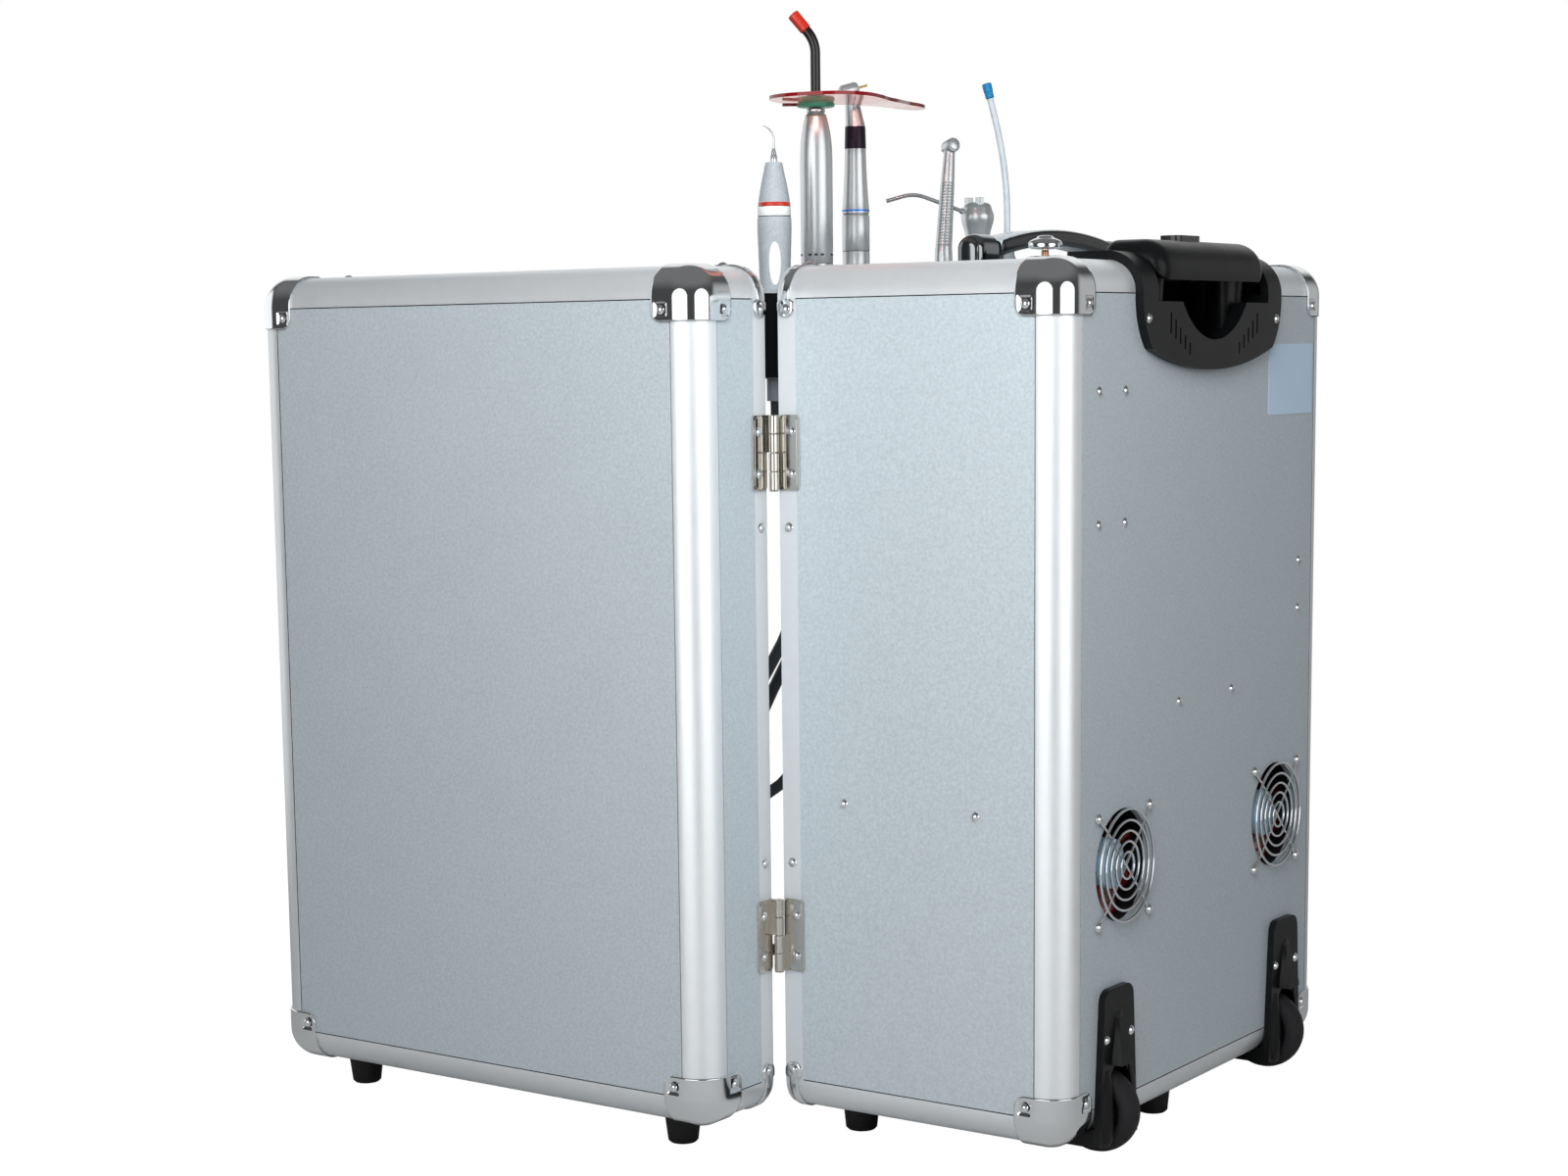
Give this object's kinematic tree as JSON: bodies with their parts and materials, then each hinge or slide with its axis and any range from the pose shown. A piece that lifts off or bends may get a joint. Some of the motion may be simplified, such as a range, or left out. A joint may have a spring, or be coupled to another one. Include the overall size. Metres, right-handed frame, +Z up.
{
  "type": "portable dental unit",
  "caption": "Portable dental unit in an aluminium trolley case with its door open, a row of handpieces standing in a holder, rear fans, wheels and a pull-out handle",
  "frame": {"origin": "on the floor, under the middle of the unit's bounding box measured without its hoses", "axes": "+Z up; +Y towards the face with the fans and wheels; -Y towards the instruments; +X towards the side where the door is hinged"},
  "size_m": [0.4898, 0.6414, 0.7717],
  "materials": {
    "wall_laminate": "fine speckled laminate, satin",
    "edge_aluminium": "satin anodised",
    "corner_chrome": "polished",
    "fastener_steel": "polished",
    "foot_rubber": "matt",
    "bracket_black": "satin black",
    "fan_black": "matt",
    "guard_wire": "bright wire",
    "tube_aluminium": "drawn tube",
    "tube_chrome": "polished tube",
    "button_grey": "satin",
    "grip_dark": "glossy top",
    "hinge_nickel": "nickel plated",
    "face_white": "smooth paint",
    "socket_grey": "satin",
    "compressor_cast": "cast and painted",
    "wheel_grey": "satin",
    "fan_pale": "moulded",
    "rocker_red": "gloss",
    "knob_blue": "gloss",
    "knob_green": "gloss",
    "scaler_grey": "soft gloss",
    "tip_steel": "ground",
    "instrument_satin": "satin anodised",
    "guide_black": "glass gloss",
    "shield_orange": "clear",
    "bur_gold": "ground",
    "syringe_chrome": "polished",
    "ejector_grey": "satin",
    "ejector_clear": "clear plastic",
    "hose_grey": "silicone",
    "hose_dark": "silicone"
  },
  "bodies": {
    "case": {"box_panels": "wall_laminate", "box_edges": "edge_aluminium", "box_rim": "edge_aluminium", "box_corners": "corner_chrome", "box_fasteners": "fastener_steel", "box_feet": "foot_rubber", "wheel_brackets": "bracket_black", "fan_frames": "fan_black", "fan_guards": "guard_wire", "handle_housing": "bracket_black", "handle_outer_tubes": "tube_aluminium", "carry_caps": "corner_chrome", "latch_plates": "hinge_nickel", "hinge_box_leaves": "hinge_nickel", "control_panel": "face_white", "panel_sockets": "socket_grey", "instrument_holder": "bracket_black", "compressor": "compressor_cast", "scaler_hose": "hose_grey", "motor_hose": "hose_dark", "highspeed_hose": "hose_dark", "syringe_hose": "hose_dark", "suction_hose": "hose_grey"},
    "wheel_right": {"wheel_right": "wheel_grey"},
    "wheel_left": {"wheel_left": "wheel_grey"},
    "fan_right": {"fan_rotor_right": "fan_pale"},
    "fan_left": {"fan_rotor_left": "fan_pale"},
    "trolley_handle": {"handle_inner_tubes": "tube_chrome", "handle_grip": "bracket_black"},
    "trolley_button": {"handle_button": "button_grey"},
    "carry_handle": {"carry_handle": "grip_dark"},
    "top_knob": {"top_knob": "corner_chrome"},
    "latch_lever_upper": {"latch_lever_upper": "hinge_nickel"},
    "latch_lever_lower": {"latch_lever_lower": "hinge_nickel"},
    "power_rocker": {"power_rocker": "rocker_red"},
    "air_knob": {"air_knob": "knob_blue"},
    "water_knob": {"water_knob": "knob_green"},
    "door": {"door_panels": "wall_laminate", "door_edges": "edge_aluminium", "door_rim": "edge_aluminium", "door_corners": "corner_chrome", "door_fasteners": "fastener_steel", "door_feet": "foot_rubber", "hinge_door_leaves": "hinge_nickel", "latch_strikes": "hinge_nickel"},
    "scaler": {"scaler": "scaler_grey", "scaler_tip": "tip_steel"},
    "curing_light": {"curing_light": "instrument_satin"},
    "light_guide": {"light_guide": "guide_black"},
    "light_shield": {"light_shield": "shield_orange"},
    "micromotor": {"micromotor": "instrument_satin"},
    "contra_angle": {"contra_angle": "instrument_satin"},
    "contra_bur": {"contra_bur": "bur_gold"},
    "highspeed": {"highspeed_handpiece": "instrument_satin"},
    "highspeed_bur": {"highspeed_bur": "tip_steel"},
    "syringe": {"syringe": "syringe_chrome"},
    "syringe_air_button": {"syringe_air_button": "syringe_chrome"},
    "syringe_water_button": {"syringe_water_button": "syringe_chrome"},
    "saliva_ejector": {"saliva_ejector": "ejector_grey", "ejector_tube": "ejector_clear"}
  },
  "joints": [
    {"name": "door_hinge", "type": "hinge", "parent": "case", "child": "door", "pos_m": [0.16542, 0.08447, 0.3085], "axis": [0, 0, 1], "range_deg": [-35, 90]},
    {"name": "wheel_right_spin", "type": "hinge", "parent": "case", "child": "wheel_right", "pos_m": [0.09242, 0.29173, 0.0365], "axis": [1, 0, 0], "continuous": true},
    {"name": "wheel_left_spin", "type": "hinge", "parent": "case", "child": "wheel_left", "pos_m": [-0.16958, 0.29173, 0.0365], "axis": [1, 0, 0], "continuous": true},
    {"name": "fan_right_spin", "type": "hinge", "parent": "case", "child": "fan_right", "pos_m": [0.07942, 0.28673, 0.2005], "axis": [0, 1, 0], "continuous": true},
    {"name": "fan_left_spin", "type": "hinge", "parent": "case", "child": "fan_left", "pos_m": [-0.15657, 0.28673, 0.2005], "axis": [0, 1, 0], "continuous": true},
    {"name": "trolley_handle_pull", "type": "slide", "parent": "case", "child": "trolley_handle", "axis": [0, 0, 1], "range_m": [0, 0.4]},
    {"name": "trolley_button_press", "type": "slide", "parent": "trolley_handle", "child": "trolley_button", "axis": [0, 0, -1], "range_m": [0, 0.003], "stiffness_N_per_m": 300, "springref_m": -0.002},
    {"name": "carry_handle_rise", "type": "slide", "parent": "case", "child": "carry_handle", "axis": [0, 0, 1], "range_m": [0, 0.005]},
    {"name": "top_knob_turn", "type": "hinge", "parent": "case", "child": "top_knob", "pos_m": [0.11442, 0.26172, 0.6055], "axis": [0, 0, 1], "continuous": true},
    {"name": "upper_latch_lever", "type": "hinge", "parent": "case", "child": "latch_lever_upper", "pos_m": [-0.24108, 0.10673, 0.4505], "axis": [0, 0, 1], "range_deg": [-110, 0]},
    {"name": "lower_latch_lever", "type": "hinge", "parent": "case", "child": "latch_lever_lower", "pos_m": [-0.24108, 0.10673, 0.1665], "axis": [0, 0, 1], "range_deg": [-110, 0]},
    {"name": "power_rocker_tilt", "type": "hinge", "parent": "case", "child": "power_rocker", "pos_m": [-0.17858, 0.11273, 0.15], "axis": [1, 0, 0], "range_deg": [-16, 0]},
    {"name": "air_knob_turn", "type": "hinge", "parent": "case", "child": "air_knob", "pos_m": [-0.10858, 0.09872, 0.12], "axis": [0, -1, 0], "range_deg": [-270, 0]},
    {"name": "water_knob_turn", "type": "hinge", "parent": "case", "child": "water_knob", "pos_m": [-0.05858, 0.09872, 0.12], "axis": [0, -1, 0], "range_deg": [-270, 0]},
    {"name": "scaler_lift", "type": "slide", "parent": "case", "child": "scaler", "axis": [0, 0, 1], "range_m": [0, 0.045]},
    {"name": "curing_light_lift", "type": "slide", "parent": "case", "child": "curing_light", "axis": [0, 0, 1], "range_m": [0, 0.045]},
    {"name": "light_guide_turn", "type": "hinge", "parent": "curing_light", "child": "light_guide", "pos_m": [0.05942, 0.04972, 0.7285], "axis": [0, 0, 1], "continuous": true},
    {"name": "light_shield_swivel", "type": "hinge", "parent": "curing_light", "child": "light_shield", "pos_m": [0.05942, 0.04972, 0.7105], "axis": [0, 0, 1], "range_deg": [-100, 0]},
    {"name": "micromotor_lift", "type": "slide", "parent": "case", "child": "micromotor", "axis": [0, 0, 1], "range_m": [0, 0.045]},
    {"name": "contra_angle_turn", "type": "hinge", "parent": "micromotor", "child": "contra_angle", "pos_m": [0.00942, 0.04972, 0.6385], "axis": [0, 0, 1], "continuous": true},
    {"name": "contra_bur_spin", "type": "hinge", "parent": "contra_angle", "child": "contra_bur", "pos_m": [0.01244, 0.04798, 0.72126], "axis": [-0.8325, 0.4806, 0.2756], "continuous": true},
    {"name": "highspeed_lift", "type": "slide", "parent": "case", "child": "highspeed", "axis": [0, 0, 1], "range_m": [0, 0.045]},
    {"name": "highspeed_bur_spin", "type": "hinge", "parent": "highspeed", "child": "highspeed_bur", "pos_m": [-0.11996, 0.04972, 0.68893], "axis": [-0.4777, -0.8596, -0.1814], "continuous": true},
    {"name": "syringe_lift", "type": "slide", "parent": "case", "child": "syringe", "axis": [0, 0, 1], "range_m": [0, 0.045]},
    {"name": "syringe_air_press", "type": "slide", "parent": "syringe", "child": "syringe_air_button", "axis": [0, 0, -1], "range_m": [0, 0.002], "stiffness_N_per_m": 400, "springref_m": -0.001},
    {"name": "syringe_water_press", "type": "slide", "parent": "syringe", "child": "syringe_water_button", "axis": [0, 0, -1], "range_m": [0, 0.002], "stiffness_N_per_m": 400, "springref_m": -0.001},
    {"name": "saliva_ejector_lift", "type": "slide", "parent": "case", "child": "saliva_ejector", "axis": [0, 0, 1], "range_m": [0, 0.045]}
  ]
}
